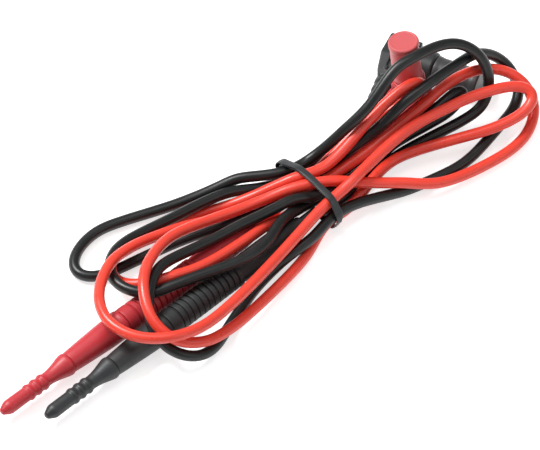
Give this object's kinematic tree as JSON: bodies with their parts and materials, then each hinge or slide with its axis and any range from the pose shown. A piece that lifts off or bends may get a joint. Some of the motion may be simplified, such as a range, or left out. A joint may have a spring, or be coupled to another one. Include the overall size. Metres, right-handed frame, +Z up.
{
  "type": "test lead set",
  "caption": "Red and black probe test leads with shrouded banana plugs, folded into a hank and held at the waist by a twist tie.",
  "frame": {"origin": "on the resting plane, at the middle of the footprint", "axes": "+X along the hank from the probe tips towards the plugs, +Z up from the resting plane, +Y across the hank towards the black plug's elbow"},
  "size_m": [0.2328, 0.0702, 0.038],
  "materials": {
    "red_plastic": "satin",
    "black_plastic": "satin",
    "red_cable": "semi gloss",
    "black_cable": "semi gloss",
    "nickel": "polished",
    "brass": "plain",
    "copper": "stranded, plain",
    "tie_plastic": "satin",
    "steel_wire": "plain"
  },
  "bodies": {
    "leads": {"red_needle": "nickel", "red_needle_holder": "brass", "red_barrel": "red_plastic", "red_grip_sleeve": "red_plastic", "red_cable_jacket": "red_cable", "red_conductor": "copper", "red_plug_body": "red_plastic", "red_plug_shroud": "red_plastic", "red_banana_pin": "nickel", "red_lantern_spring": "nickel", "red_plug_ferrule": "brass", "black_needle": "nickel", "black_needle_holder": "brass", "black_barrel": "black_plastic", "black_grip_sleeve": "black_plastic", "black_cable_jacket": "black_cable", "black_conductor": "copper", "black_plug_body": "black_plastic", "black_plug_shroud": "black_plastic", "black_banana_pin": "nickel", "black_lantern_spring": "nickel", "black_plug_ferrule": "brass", "twist_tie": "tie_plastic", "tie_wire": "steel_wire"},
    "red_tip_cover": {"red_tip_cap": "red_plastic"},
    "black_tip_cover": {"black_tip_cap": "black_plastic"},
    "red_plug_cover": {"red_plug_cap": "red_plastic"},
    "black_plug_cover": {"black_plug_cap": "black_plastic"}
  },
  "joints": [
    {"name": "red_tip_cap_slide", "type": "slide", "parent": "leads", "child": "red_tip_cover", "axis": [-0.9977, -0.068, 0], "range_m": [0, 0.035]},
    {"name": "black_tip_cap_slide", "type": "slide", "parent": "leads", "child": "black_tip_cover", "axis": [-0.9968, -0.0802, 0], "range_m": [0, 0.035]},
    {"name": "red_plug_cap_slide", "type": "slide", "parent": "leads", "child": "red_plug_cover", "axis": [-0.0197, 0.1302, 0.9913], "range_m": [0, 0.045]},
    {"name": "black_plug_cap_slide", "type": "slide", "parent": "leads", "child": "black_plug_cover", "axis": [0.4384, -0.8988, 0], "range_m": [0, 0.006]}
  ]
}
